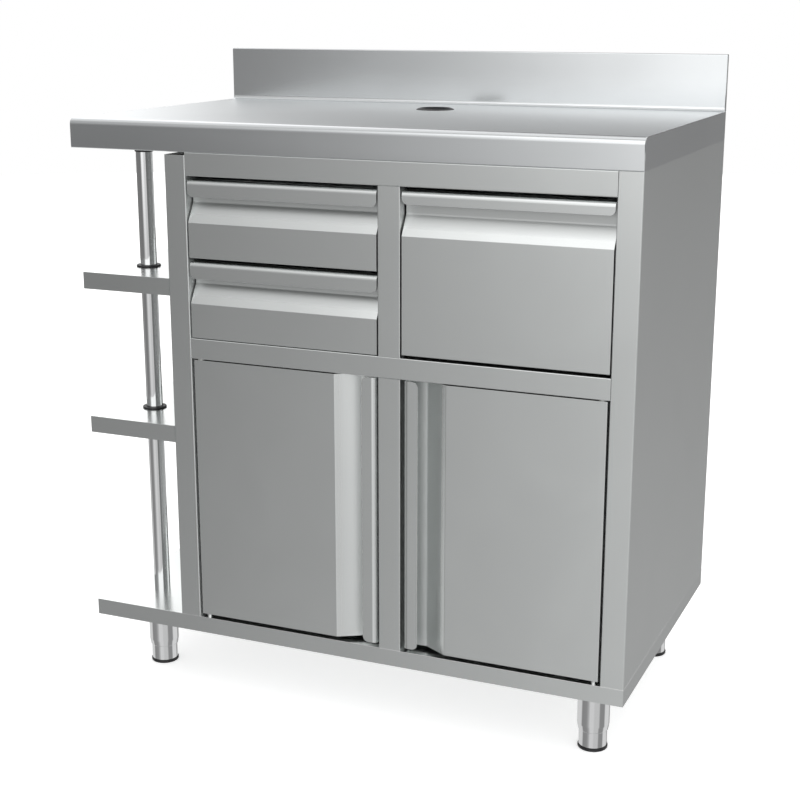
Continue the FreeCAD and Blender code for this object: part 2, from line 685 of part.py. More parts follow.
def door_skin():
    """Outer sheet with its folded grip, closed at top and bottom behind the sheet."""
    hinge, slope, deep, free = door_edges()
    floor = PANEL_FACE + DOOR_CHANNEL_DEPTH
    rear = PANEL_FACE + DOOR_THICKNESS
    turn = PANEL_FACE + SHEET
    panel = [(hinge, rear), (hinge, PANEL_FACE), (slope, PANEL_FACE), (deep, floor)]
    grip = [(free - SHEET, floor), (free - SHEET, turn), (free - DOOR_LIP_WIDTH, turn)]
    radii = [BEND, CRISP_BEND, GRIP_BEND, BEND, LIP_BEND]
    height = DOOR_TOP - DOOR_BOTTOM
    pieces = [folded_sheet(panel + grip, radii, MATERIAL_LEFT, "plan", DOOR_BOTTOM, height)]
    rear_end = free - BEND - 2 * SHEET
    closure = panel + [(rear_end, floor), (rear_end, floor + SHEET)]
    closure += [(hinge + SHEET, floor + SHEET), (hinge + SHEET, rear)]
    closure_radii = [BEND + SHEET, CRISP_BEND + SHEET, GRIP_BEND, 0, 0, 0]
    for level in (DOOR_BOTTOM, DOOR_TOP - SHEET):
        pieces.append(plate(closure, closure_radii, "plan", level, SHEET))
    skin = fused(pieces)
    corners = [edge for z in (DOOR_BOTTOM, DOOR_TOP)
               for edge in edges_at(skin, x=free - DOOR_LIP_WIDTH, z=z)]
    skin = skin.makeFillet(LIP_CORNER, corners)
    bush_hole = PIN_RADIUS + PIN_CLEARANCE + BUSH_WALL
    return skin.cut(upright_cylinder(bush_hole, *pivot_place(), DOOR_BOTTOM - 1, DOOR_TOP + 1))


def door_liner():
    """Inner sheet that closes the door's back, folded forward at the hinge side, top and bottom."""
    hinge, slope, _, free = door_edges()
    face = PANEL_FACE + DOOR_THICKNESS
    fold = face - LINER_FOLD
    edge = hinge + SHEET
    path = [(edge, fold), (edge, face), (free - SHEET, face)]
    sheet = folded_sheet(path, [BEND], MATERIAL_RIGHT, "plan", DOOR_BOTTOM, DOOR_TOP - DOOR_BOTTOM)
    for z in (DOOR_BOTTOM, DOOR_TOP - SHEET):
        sheet = sheet.cut(block(edge, edge + SHEET, fold, face - SHEET, z, z + SHEET))
    folds = [block(edge + SHEET / 2, slope, fold, face - SHEET / 2, z, z + SHEET)
             for z in (DOOR_BOTTOM + SHEET, DOOR_TOP - 2 * SHEET)]
    return fused([sheet] + folds)


def pivot_bush(level, outward):
    """Bush in the door's end, with its flange outside; outward is -1 at the bottom and +1 at the top."""
    bore = PIN_RADIUS + PIN_CLEARANCE
    wall = bore + BUSH_WALL
    seat = level + outward * (SHEET - SEAT_GAP)
    profile = [
        (bore, level - outward * BUSH_LENGTH), (wall, level - outward * BUSH_LENGTH), (wall, level),
        (wall + BUSH_FLANGE, level), (wall + BUSH_FLANGE, seat), (bore, seat),
    ]
    return turned(profile, *pivot_place())


def pivot_pin(door_end, frame, outward):
    """Pin with a shoulder that stands on the tray or hangs from the middle rail."""
    shoulder = door_end + outward * SHEET
    low, high = sorted((frame, shoulder))
    collar = upright_cylinder(PIN_RADIUS + BUSH_WALL, *pivot_place(), low, high)
    low, high = sorted((shoulder, door_end - outward * PIN_ENGAGEMENT))
    return fused([collar, upright_cylinder(PIN_RADIUS, *pivot_place(), low, high)])


def door_magnet():
    """Catch on the mullion, just behind the door's free edge."""
    face = PANEL_FACE + DOOR_THICKNESS + MAGNET_GAP
    middle = (DOOR_BOTTOM + DOOR_TOP) / 2
    return block(LEFT_BAY[1] - MAGNET_WIDTH, LEFT_BAY[1], face, face + MAGNET_DEPTH,
                 middle - MAGNET_HEIGHT / 2, middle + MAGNET_HEIGHT / 2)


def door_nodes():
    """Every node of the two doors and of what they turn on."""
    left = {
        "door_skin": [door_skin()],
        "door_liner": [door_liner()],
        "door_bushes": [pivot_bush(DOOR_BOTTOM, -1), pivot_bush(DOOR_TOP, 1)],
    }
    nodes = {}
    for name, solids in left.items():
        nodes["left_" + name] = solids
        nodes["right_" + name] = [mirrored(solid) for solid in solids]
    pins = [pivot_pin(DOOR_BOTTOM, TRAY_TOP, -1), pivot_pin(DOOR_TOP, DOOR_HEAD, 1)]
    nodes["door_pivot_pins"] = pins + [mirrored(pin) for pin in pins]
    nodes["door_magnets"] = [door_magnet(), mirrored(door_magnet())]
    return nodes


# Assembly

def worktop_nodes():
    return {
        "worktop": [worktop()],
        "worktop_stiffeners": worktop_stiffeners(),
        "post_channel": [post_channel()],
        "cable_grommet": [cable_grommet()],
    }


def carcass_nodes():
    nodes = {
        "left_side_panel": [side_panel(LEFT_BAY[0], BODY_LEFT, BODY_TOP - LEFT_PANEL_DROP, MATERIAL_RIGHT)],
        "right_side_panel": [side_panel(RIGHT_BAY[1], RIGHT, BODY_TOP, MATERIAL_LEFT)],
        "left_inner_wall": [inner_wall(LEFT_BAY[0], BODY_LEFT, MATERIAL_LEFT)],
        "right_inner_wall": [inner_wall(RIGHT_BAY[1], RIGHT, MATERIAL_RIGHT)],
        "centre_partition": [centre_partition()],
        "back_panel": [back_panel()],
        "top_rail": [rail(BODY_TOP, DRAWER_TOP)],
        "middle_rail": [rail(DRAWER_FLOOR, DOOR_HEAD)],
        "upper_mullion": [mullion(DRAWER_FLOOR, DRAWER_TOP)],
        "lower_mullion": [mullion(TRAY_TOP, DOOR_HEAD)],
        "dividing_deck": [dividing_deck()],
        "base_tray": [base_tray()],
        "cupboard_shelf": [cupboard_shelf()],
        "shelf_supports": shelf_supports(),
    }
    for name, drop in SIDE_SHELF_DROPS.items():
        nodes[name] = [side_shelf(drop)]
    return nodes


def post_and_leg_nodes():
    nodes = {name: [post(*place)] for name, place in POST_PLACES.items()}
    nodes["post_collars"] = post_collars()
    nodes["post_caps"] = post_caps()
    for name, place in LEG_PLACES.items():
        nodes[name + "_leg_sleeve"] = [leg_sleeve(*place)]
        nodes[name + "_foot"] = [foot(*place)]
        nodes[name + "_foot_pad"] = [foot_pad(*place)]
    return nodes


def drawer_nodes():
    nodes = {}
    for name, (bay, bottom, top, lip_height) in drawers().items():
        nodes[name + "_front"] = [drawer_front(bay, bottom, top, lip_height)]
        nodes[name + "_box"] = [drawer_box(bay, bottom, top)]
        nodes[name + "_outer_runners"] = outer_runner(bay, bottom)
        nodes[name + "_middle_runners"] = middle_runner(bay, bottom)
        nodes[name + "_inner_runners"] = inner_runner(bay, bottom)
    return nodes


def main():
    os.makedirs("parts", exist_ok=True)
    for nodes in (worktop_nodes(), carcass_nodes(), post_and_leg_nodes(), drawer_nodes(), door_nodes()):
        for name, solids in nodes.items():
            shape = solids[0] if len(solids) == 1 else Part.makeCompound(solids)
            shape.exportStep("parts/" + name + ".step")
            print(name, len(solids), "valid" if shape.isValid() else "NOT VALID", round(shape.Volume))


main()
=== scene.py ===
"""Waiter service station: finished pieces, materials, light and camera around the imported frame."""

import json
import logging
import math
from collections.abc import Callable
from dataclasses import dataclass, field
from enum import Enum

import bmesh
import bpy
from mathutils import Matrix, Vector


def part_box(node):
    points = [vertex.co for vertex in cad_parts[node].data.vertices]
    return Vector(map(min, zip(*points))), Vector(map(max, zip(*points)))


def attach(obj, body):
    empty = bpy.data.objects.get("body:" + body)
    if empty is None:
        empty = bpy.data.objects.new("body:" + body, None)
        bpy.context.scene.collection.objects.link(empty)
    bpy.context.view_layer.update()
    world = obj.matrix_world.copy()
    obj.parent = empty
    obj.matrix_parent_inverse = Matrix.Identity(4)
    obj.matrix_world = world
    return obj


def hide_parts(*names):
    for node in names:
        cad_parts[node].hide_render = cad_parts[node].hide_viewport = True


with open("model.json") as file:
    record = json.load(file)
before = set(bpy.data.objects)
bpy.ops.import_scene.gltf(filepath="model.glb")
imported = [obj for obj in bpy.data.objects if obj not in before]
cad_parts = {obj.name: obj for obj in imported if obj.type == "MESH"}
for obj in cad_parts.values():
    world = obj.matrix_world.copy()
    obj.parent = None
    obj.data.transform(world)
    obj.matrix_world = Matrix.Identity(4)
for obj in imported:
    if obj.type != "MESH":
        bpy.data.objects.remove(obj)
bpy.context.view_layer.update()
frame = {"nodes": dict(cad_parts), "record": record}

log = logging.getLogger("service_station")

Colour = tuple[float, float, float]
Profile = list[tuple[float, float]]
Mesh = bmesh.types.BMesh
Socket = bpy.types.NodeSocket
Values = dict[str | int, object]

MM = 0.001
UP = Vector((0.0, 0.0, 1.0))
REARWARDS = Vector((0.0, 1.0, 0.0))
SIDEWAYS = Vector((1.0, 0.0, 0.0))

NODES = frame["nodes"]
BODY_OF = {node: body for body, nodes in frame["record"]["behaviour"]["bodies"].items()
           for node in nodes}
CARCASS = "carcass"
SIDES = ("left", "right")
DRAWERS = ("upper_drawer", "lower_drawer", "deep_drawer")
LEGS = ("front_left", "front_right", "rear_left", "rear_right")

# Sizes, angles and levels that several classes or finishes share

MERGE_DISTANCE = 0.001 * MM
FLAT_ANGLE = math.radians(0.4)
CREASE_ANGLE = math.radians(32.0)
LEG_PLATE = 3.0 * MM
UPSTAND_HEIGHT = 103.0 * MM
DRAWER_GRIP_DEPTH = 20.0 * MM
DOOR_GRIP_DEPTH = 24.0 * MM
MULLION_HALF_DEPTH = 14.0 * MM
PANEL_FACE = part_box("left_door_skin")[0].y
DRAWER_GRIP_FLOOR = PANEL_FACE + DRAWER_GRIP_DEPTH
DOOR_GRIP_FLOOR = PANEL_FACE + DOOR_GRIP_DEPTH
WORKTOP_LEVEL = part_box("worktop")[1].z - UPSTAND_HEIGHT
MULLION_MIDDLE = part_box("lower_mullion")[0].y + MULLION_HALF_DEPTH
LEFT_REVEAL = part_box("left_side_panel")[1].x
RIGHT_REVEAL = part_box("right_side_panel")[0].x


class Grain(Enum):
    """The way the fine sanding lines of a sheet run, as the scale of a noise along X, Y and Z."""

    ALONG_X = (2.0, 420.0, 420.0)
    ALONG_Y = (420.0, 2.0, 420.0)
    ALONG_Z = (420.0, 420.0, 2.0)


# Nodes


class Wiring:
    """A node tree with a short call that places a node, sets it and links it."""

    def __init__(self, tree: bpy.types.NodeTree) -> None:
        """Take a node tree."""
        self.nodes = tree.nodes
        self.links = tree.links

    def place(self, kind: str, inputs: Values | None = None, **settings: object) -> bpy.types.Node:
        """Place a node.

        Args:
            kind: the type of the node.
            inputs: a value or an incoming socket for each named or numbered input.
            settings: the node's own properties, set before its inputs.

        Returns:
            The new node.
        """
        node = self.nodes.new(kind)
        for name, value in settings.items():
            setattr(node, name, value)
        self.fill(node, inputs or {})
        return node

    def fill(self, node: bpy.types.Node, inputs: Values) -> None:
        """Set or link some inputs of a node.

        Args:
            node: the node.
            inputs: a value or an incoming socket for each named or numbered input.
        """
        for key, value in inputs.items():
            if isinstance(value, Socket):
                self.links.new(value, node.inputs[key])
            else:
                node.inputs[key].default_value = value


class Effects:
    """Shader effects that several finishes share, each a node group that is built once."""

    _built: dict[str, bpy.types.NodeTree] = {}

    @classmethod
    def grain(cls) -> bpy.types.NodeTree:
        """Fine parallel lines.

        Returns:
            A group that turns stretched coordinates into a mask from 0 to 1 and a bump normal.
        """
        return cls._once("sanding_grain", cls._fill_grain)

    @classmethod
    def marks(cls) -> bpy.types.NodeTree:
        """Wiped and handled patches.

        Returns:
            A group that turns plain coordinates into a soft mask from 0 to 1.
        """
        return cls._once("handling_marks", cls._fill_marks)

    @classmethod
    def band(cls) -> bpy.types.NodeTree:
        """A band about one level.

        Returns:
            A group that gives, for each axis, a mask that is 1 at the level and 0 beyond its reach.
        """
        return cls._once("level_band", cls._fill_band)

    @classmethod
    def _once(cls, name: str, fill: Callable[[bpy.types.NodeTree], None]) -> bpy.types.NodeTree:
        """Build a group the first time it is asked for.

        Args:
            name: the name of the group.
            fill: what puts the nodes into an empty group.

        Returns:
            The group.
        """
        if name not in cls._built:
            cls._built[name] = bpy.data.node_groups.new(name, "ShaderNodeTree")
            fill(cls._built[name])
        return cls._built[name]

    @staticmethod
    def _sockets(tree: bpy.types.NodeTree, inputs: dict[str, str], outputs: dict[str, str]) -> None:
        """Give a group its sockets.

        Args:
            tree: the group.
            inputs: the kind of each named input, such as Float.
            outputs: the kind of each named output.
        """
        for way, kinds in (("INPUT", inputs), ("OUTPUT", outputs)):
            for name, kind in kinds.items():
                tree.interface.new_socket(name, in_out=way, socket_type="NodeSocket" + kind)

    @classmethod
    def _fill_grain(cls, tree: bpy.types.NodeTree) -> None:
        """Put fine noise and its bump into the group.

        Args:
            tree: the empty group.
        """
        cls._sockets(tree, {"Vector": "Vector", "Depth": "Float"}, {"Mask": "Float", "Normal": "Vector"})
        wiring = Wiring(tree)
        start = wiring.place("NodeGroupInput").outputs
        lines = wiring.place("ShaderNodeTexNoise", {"Vector": start["Vector"], "Scale": 1.0, "Detail": 3.0})
        bump = wiring.place("ShaderNodeBump", {"Height": lines.outputs["Fac"], "Strength": start["Depth"],
                                               "Distance": 0.01 * MM})
        wiring.place("NodeGroupOutput", {"Mask": lines.outputs["Fac"], "Normal": bump.outputs["Normal"]})

    @classmethod
    def _fill_marks(cls, tree: bpy.types.NodeTree) -> None:
        """Put broad soft noise into the group.

        Args:
            tree: the empty group.
        """
        cls._sockets(tree, {"Vector": "Vector"}, {"Mask": "Float"})
        wiring = Wiring(tree)
        start = wiring.place("NodeGroupInput").outputs
        patches = wiring.place("ShaderNodeTexNoise", {"Vector": start["Vector"], "Scale": 5.0,
                                                      "Detail": 4.0, "Distortion": 0.6})
        soft = wiring.place("ShaderNodeMapRange", {"Value": patches.outputs["Fac"], "From Min": 0.3,
                                                   "From Max": 0.7}, interpolation_type="SMOOTHSTEP")
        wiring.place("NodeGroupOutput", {"Mask": soft.outputs["Result"]})

    @classmethod
    def _fill_band(cls, tree: bpy.types.NodeTree) -> None:
        """Put one fading mask for each axis into the group.

        Args:
            tree: the empty group.
        """
        cls._sockets(tree, {"Vector": "Vector", "Level": "Float", "Reach": "Float"},
                     {axis: "Float" for axis in "XYZ"})
        wiring = Wiring(tree)
        start = wiring.place("NodeGroupInput").outputs
        split = wiring.place("ShaderNodeSeparateXYZ", {"Vector": start["Vector"]})
        masks = {}
        for axis in "XYZ":
            away = wiring.place("ShaderNodeMath", {0: split.outputs[axis], 1: start["Level"]},
                                operation="SUBTRACT")
            distance = wiring.place("ShaderNodeMath", {0: away.outputs["Value"]}, operation="ABSOLUTE")
            fade = wiring.place("ShaderNodeMapRange", {"Value": distance.outputs["Value"],
                                                       "From Max": start["Reach"],
                                                       "To Min": 1.0, "To Max": 0.0})
            masks[axis] = fade.outputs["Result"]
        wiring.place("NodeGroupOutput", masks)


class Material(Wiring):
    """A material under construction, with short calls for the nodes that every finish needs."""

    def __init__(self, name: str) -> None:
        """Start a material with a Principled shader.

        Args:
            name: the material's name.
        """
        self.block = bpy.data.materials.new(name)
        self.block.use_nodes = True
        super().__init__(self.block.node_tree)
        self.shader = self.nodes["Principled BSDF"]
        self.coordinates = self.place("ShaderNodeTexCoord").outputs["Object"]

    def scaled(self, scale: tuple[float, float, float]) -> Socket:
        """Object coordinates multiplied by a scale along each axis."""
        mapping = self.place("ShaderNodeMapping", {"Vector": self.coordinates, "Scale": scale})
        return mapping.outputs["Vector"]

    def effect(self, tree: bpy.types.NodeTree, vector: Socket, **values: float) -> bpy.types.Node:
        """A shared effect on some coordinates, with its own values."""
        return self.place("ShaderNodeGroup", {"Vector": vector, **values}, node_tree=tree)

    def between(self, mask: Socket, low: float, high: float) -> Socket:
        """A value that goes from low to high as a mask goes from 0 to 1."""
        spread = self.place("ShaderNodeMapRange", {"Value": mask, "To Min": low, "To Max": high})
        return spread.outputs["Result"]

    def blend(self, mask: Socket, first: Socket | float, second: float) -> Socket:
        """A value that goes from the first to the second as a mask goes from 0 to 1."""
        mix = self.place("ShaderNodeMix", {"Factor": mask, "A": first, "B": second})
        return mix.outputs["Result"]

    def tones(self, mask: Socket, first: Socket | Colour, second: Colour) -> Socket:
        """A colour that goes from the first to the second as a mask goes from 0 to 1.

        Args:
            mask: where the second colour shows.
            first: a colour, or a socket that gives one.
            second: a colour.

        Returns:
            The mixed colour.
        """
        start = first if isinstance(first, Socket) else (*first, 1.0)
        mix = self.place("ShaderNodeMix", {"Factor": mask, "A": start, "B": (*second, 1.0)},
                         data_type="RGBA")
        return mix.outputs["Result"]

    def dress(self, **inputs: object) -> bpy.types.Material:
        """Set or link inputs of the shader, with underscores for the spaces in their names."""
        self.fill(self.shader, {name.replace("_", " "): value for name, value in inputs.items()})
        return self.block


def shaded(tint: Colour, share: float, lift: float = 0.0) -> Colour:
    """A colour multiplied by a share and raised by a lift, with no channel above 1."""
    return tuple(min(1.0, share * channel + lift) for channel in tint)


# Finishes


@dataclass(frozen=True)
class DullAndShadeBand:
    """A level of a sheet that the last polish missed or that wear has left rougher, fading out on both sides;
    where its shade factor is below 1 it also darkens the colour there as painted shade.
    """

    axis: str
    level: float
    reach: float
    roughness: float
    # Below 1, this darkens the colour in the band as painted shade.
    tone: float = 1.0


@dataclass(frozen=True)
class SteelFinish:
    """Stainless sheet or tube with sanding lines and faint handling marks."""

    name: str
    slot: str
    tint: Colour = (0.78, 0.8, 0.794)
    roughness: float = 0.24
    grain: Grain = Grain.ALONG_X
    depth: float = 0.015
    spread: float = 0.006
    worn: float = 0.96
    # A band of extra roughness that can also carry painted shade.
    dull_and_shade: DullAndShadeBand | None = None

    def material(self) -> bpy.types.Material:
        """Build the finish.

        Returns:
            A metal whose roughness and colour follow the grain and the marks, and also the band where there
            is one, which adds roughness and painted shade.
        """
        made = Material(self.name)
        grain = made.effect(Effects.grain(), made.scaled(self.grain.value), Depth=self.depth)
        marks = made.effect(Effects.marks(), made.coordinates).outputs["Mask"]
        colour = made.tones(marks, self.tint, shaded(self.tint, self.worn))
        lines = made.between(grain.outputs["Mask"], self.roughness - self.spread,
                             self.roughness + self.spread)
        rubbed = made.place("ShaderNodeMath", {0: marks, 1: self.spread, 2: lines}, operation="MULTIPLY_ADD")
        roughness = rubbed.outputs["Value"]
        if self.dull_and_shade is not None:
            colour, roughness = self.dulled_and_shaded(made, colour, roughness)
        return made.dress(Metallic=1.0, Base_Color=colour, Roughness=roughness,
                          Normal=grain.outputs["Normal"])

    def dulled_and_shaded(self, made: Material, colour: Socket, roughness: Socket) -> tuple[Socket, Socket]:
        """Work the band into the roughness, and its painted shade into the colour.

        Args:
            made: the material.
            colour: the colour outside the band.
            roughness: the roughness outside the band.

        Returns:
            The colour with the band's painted shade in it, and the roughness with the band in it.
        """
        band = made.effect(Effects.band(), made.coordinates, Level=self.dull_and_shade.level, Reach=self.dull_and_shade.reach)
        mask = band.outputs[self.dull_and_shade.axis]
        # Painted shade: the colour darkens by the band's factor at its level and fades back out with it.
        return (made.tones(mask, colour, shaded(self.tint, self.dull_and_shade.tone)),
                made.blend(mask, roughness, self.dull_and_shade.roughness))


@dataclass(frozen=True)
class PlasticFinish:
    """Moulded plastic or rubber with a fine even texture."""

    name: str
    slot: str
    tint: Colour = (0.012, 0.012, 0.013)
    roughness: float = 0.45
    smoother: float = 0.06
    rougher: float = 0.08
    pores: float = 2600.0
    depth: float = 0.35
    patches: float = 8.0
    worn: float = 1.25
    dust: float = 0.004

    def material(self) -> bpy.types.Material:
        """Build the finish.

        Returns:
            A dielectric with a moulded grain and slightly worn patches.
        """
        made = Material(self.name)
        grain = made.effect(Effects.grain(), made.scaled((self.pores,) * 3), Depth=self.depth)
        marks = made.effect(Effects.marks(), made.scaled((self.patches,) * 3)).outputs["Mask"]
        roughness = made.between(grain.outputs["Mask"], self.roughness - self.smoother,
                                 self.roughness + self.rougher)
        return made.dress(Base_Color=made.tones(marks, self.tint, shaded(self.tint, self.worn, self.dust)),
                          Roughness=roughness, Normal=grain.outputs["Normal"])


Finish = SteelFinish | PlasticFinish

WORKTOP_STEEL = SteelFinish("worktop_satin", "worktop_sheet", tint=(0.776, 0.796, 0.806), roughness=0.18,
                            dull_and_shade=DullAndShadeBand("Z", WORKTOP_LEVEL, 0.8 * MM, 0.4))
BODY_STEEL = SteelFinish("body_satin_upright", "body_sheet", grain=Grain.ALONG_Z)
LEFT_STEEL = SteelFinish("left_panel_satin", "body_sheet", grain=Grain.ALONG_Z,
                         dull_and_shade=DullAndShadeBand("X", LEFT_REVEAL, 2.0 * MM, 0.6))
RIGHT_STEEL = SteelFinish("right_panel_satin", "body_sheet", grain=Grain.ALONG_Z,
                          dull_and_shade=DullAndShadeBand("X", RIGHT_REVEAL, 2.0 * MM, 0.6))
MULLION_STEEL = SteelFinish("mullion_satin", "body_sheet", grain=Grain.ALONG_Z,
                            dull_and_shade=DullAndShadeBand("Y", MULLION_MIDDLE, 13.0 * MM, 0.6))
TRAY_STEEL = SteelFinish("tray_satin", "body_sheet", roughness=0.22)
RAIL_STEEL = SteelFinish("body_satin_level", "body_sheet")
SHELF_STEEL = SteelFinish("shelf_satin", "body_sheet", roughness=0.22)
# The drawer fronts' band paints shade into the grip: the colour darkens to 0.72 at the grip's back wall and
# fades out over 14 mm on both sides, where the steel is also rougher.
FRONT_STEEL = SteelFinish("front_satin_grip_shade", "front_sheet",
                          dull_and_shade=DullAndShadeBand("Y", DRAWER_GRIP_FLOOR, 14.0 * MM, 0.45, 0.72))
DOOR_STEEL = SteelFinish("door_satin", "front_sheet", grain=Grain.ALONG_Z,
                         dull_and_shade=DullAndShadeBand("Y", DOOR_GRIP_FLOOR, 21.0 * MM, 0.6))
BOX_STEEL = SteelFinish("box_mill_finish", "box_sheet", tint=(0.7, 0.71, 0.715), roughness=0.32)
TUBE_STEEL = SteelFinish("tube_polish", "polished_tube", tint=(0.8, 0.805, 0.81), roughness=0.07,
                         grain=Grain.ALONG_Z, depth=0.01, spread=0.005)
RUNNER_STEEL = SteelFinish("runner_zinc", "runner_steel", tint=(0.52, 0.55, 0.6), roughness=0.34,
                           grain=Grain.ALONG_Y)
FASTENER_STEEL = SteelFinish("fastener_bright", "bright_fasteners", tint=(0.78, 0.78, 0.78),
                             roughness=0.2)
BLACK_PLASTIC = PlasticFinish("black_moulding", "black_plastic")
MAGNET_PLASTIC = PlasticFinish("magnet_moulding", "magnet_case", tint=(0.02, 0.02, 0.022))
NYLON = PlasticFinish("bush_nylon", "bush_nylon", tint=(0.8, 0.8, 0.77), roughness=0.35)


# Shaping


def turned(profile: Profile, centre: Vector, steps: int = 96) -> Mesh:
    """Turn a closed outline of (radius, height) points about an upright axis.

    Args:
        profile: the outline's corners in order.
        centre: a point on the axis.
        steps: how many faces go round.

    Returns:
        The turned mesh, with its faces outwards.
    """
    mesh = bmesh.new()
    corners = [mesh.verts.new((centre.x + radius, centre.y, height)) for radius, height in profile]
    edges = [mesh.edges.new(pair) for pair in zip(corners, corners[1:] + corners[:1])]
    bmesh.ops.spin(mesh, geom=corners + edges, cent=(centre.x, centre.y, 0.0), axis=UP,
                   dvec=(0.0, 0.0, 0.0), angle=math.tau, steps=steps, use_merge=True)
    bmesh.ops.remove_doubles(mesh, verts=mesh.verts, dist=MERGE_DISTANCE)
    bmesh.ops.recalc_face_normals(mesh, faces=mesh.faces)
    return mesh


def rounded(profile: Profile, radii: dict[int, float], steps: int = 5) -> Profile:
    """Round chosen corners of a closed outline.

    Args:
        profile: the outline's corners in order.
        radii: the radius of each corner that is rounded, by its index.
        steps: how many short runs make one round.

    Returns:
        The outline with its rounds as points.
    """
    points: Profile = []
    count = len(profile)
    for index, (u, v) in enumerate(profile):
        radius = radii.get(index, 0.0)
        if radius == 0.0:
            points.append((u, v))
            continue
        corner = Vector((u, v))
        before = (Vector(profile[index - 1]) - corner).normalized()
        after = (Vector(profile[(index + 1) % count]) - corner).normalized()
        half = before.angle(after) / 2
        centre = corner + (before + after).normalized() * radius / math.sin(half)
        start = corner + before * radius / math.tan(half) - centre
        end = corner + after * radius / math.tan(half) - centre
        sweep = start.angle_signed(end)
        for step in range(steps + 1):
            arm = start.copy()
            arm.rotate(Matrix.Rotation(-sweep * step / steps, 2))
            points.append(tuple(centre + arm))
    return points


def slab(size: Vector, centre: Vector, corner: float, segments: int) -> Mesh:
    """A flat plate whose corners are rounded through its thinnest side.

    Args:
        size: its full sizes along X, Y and Z.
        centre: its middle.
        corner: the radius of its corners.
        segments: how many faces make one corner.

    Returns:
        The plate.
    """
    mesh = bmesh.new()
    bmesh.ops.create_cube(mesh, size=1.0)
    bmesh.ops.scale(mesh, vec=size, verts=mesh.verts)
    thin = min(range(3), key=lambda axis: size[axis])
    upright = [edge for edge in mesh.edges
               if abs(edge.verts[0].co[thin] - edge.verts[1].co[thin]) > size[thin] / 2]
    bmesh.ops.bevel(mesh, geom=upright, offset=corner, affect="EDGES", segments=segments, profile=0.5,
                    material=-1)
    bmesh.ops.translate(mesh, vec=centre, verts=mesh.verts)
    return mesh


def bar(start: Vector, end: Vector, radius: float) -> Mesh:
    """A thin round bar from one point to another.

    Args:
        start: the middle of one end.
        end: the middle of the other end.
        radius: its radius.

    Returns:
        The bar.
    """
    mesh = bmesh.new()
    run = end - start
    bmesh.ops.create_cone(mesh, cap_ends=True, segments=16, radius1=radius, radius2=radius,
                          depth=run.length)
    facing(mesh, run, (start + end) / 2)
    return mesh


def facing(mesh: Mesh, way: Vector, place: Vector) -> None:
    """Turn a mesh made upright to another direction, then move it.

    Args:
        mesh: a mesh whose axis is Z.
        way: where its axis points afterwards.
        place: where its origin goes.
    """
    turn = UP.rotation_difference(way).to_matrix().to_4x4()
    bmesh.ops.transform(mesh, matrix=Matrix.Translation(place) @ turn, verts=mesh.verts)


def joined(meshes: list[Mesh]) -> Mesh:
    """Put several meshes into one.

    Args:
        meshes: what is joined; each is freed.

    Returns:
        One mesh with all of them.
    """
    whole = bmesh.new()
    for mesh in meshes:
        carrier = bpy.data.meshes.new("carrier")
        mesh.to_mesh(carrier)
        mesh.free()
        whole.from_mesh(carrier)
        bpy.data.meshes.remove(carrier)
    return whole


# Making pieces


class Workshop:
    """Turns meshes into finished pieces that ride on their CAD bodies."""

    def __init__(self) -> None:
        """Start with no materials."""
        self.materials: dict[str, bpy.types.Material] = {}

    def material(self, finish: Finish) -> bpy.types.Material:
        """The material of a finish, built the first time it is used.

        Args:
            finish: what a piece is made of.

        Returns:
            Its material.
        """
        if finish.name not in self.materials:
            self.materials[finish.name] = finish.material()
        return self.materials[finish.name]

    def piece(self, name: str, mesh: Mesh, finish: Finish, body: str, *stands_for: str) -> None:
        """Turn a bmesh into a piece with its finish, its body and a smooth shading with crisp edges.

        Args:
            name: the piece's name.
            mesh: the finished bmesh, which is freed.
            finish: what it is made of.
            body: the CAD body it moves with.
            stands_for: the CAD nodes that it replaces.
        """
        data = bpy.data.meshes.new(name)
        mesh.to_mesh(data)
        mesh.free()
        data.shade_smooth()
        data.set_sharp_from_angle(angle=CREASE_ANGLE)
        data.materials.append(self.material(finish))
        made = bpy.data.objects.new(name, data)
        bpy.context.scene.collection.objects.link(made)
        even = made.modifiers.new("even_shading", "WEIGHTED_NORMAL")
        even.keep_sharp = True
        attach(made, body)
        if stands_for:
            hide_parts(*stands_for)
        log.info("%s rides on %s, %d faces", name, body, len(data.polygons))

    def sheet(self, node: str, finish: Finish) -> None:
        """Finish a folded sheet: its facets joined, its bends smooth and its cut edges crisp.

        Args:
            node: the CAD node that the finished sheet replaces.
            finish: what it is made of.
        """
        mesh = bmesh.new()
        mesh.from_mesh(NODES[node].data)
        bmesh.ops.remove_doubles(mesh, verts=mesh.verts, dist=MERGE_DISTANCE)
        bmesh.ops.dissolve_limit(mesh, angle_limit=FLAT_ANGLE, verts=mesh.verts, edges=mesh.edges)
        self.piece(node + "_sheet", mesh, finish, BODY_OF[node], node)


# Sub-assemblies


@dataclass
class SubAssembly:
    """Pieces that are made together."""

    shop: Workshop

    def build(self) -> None:
        """Make every piece of the sub-assembly."""
        raise NotImplementedError


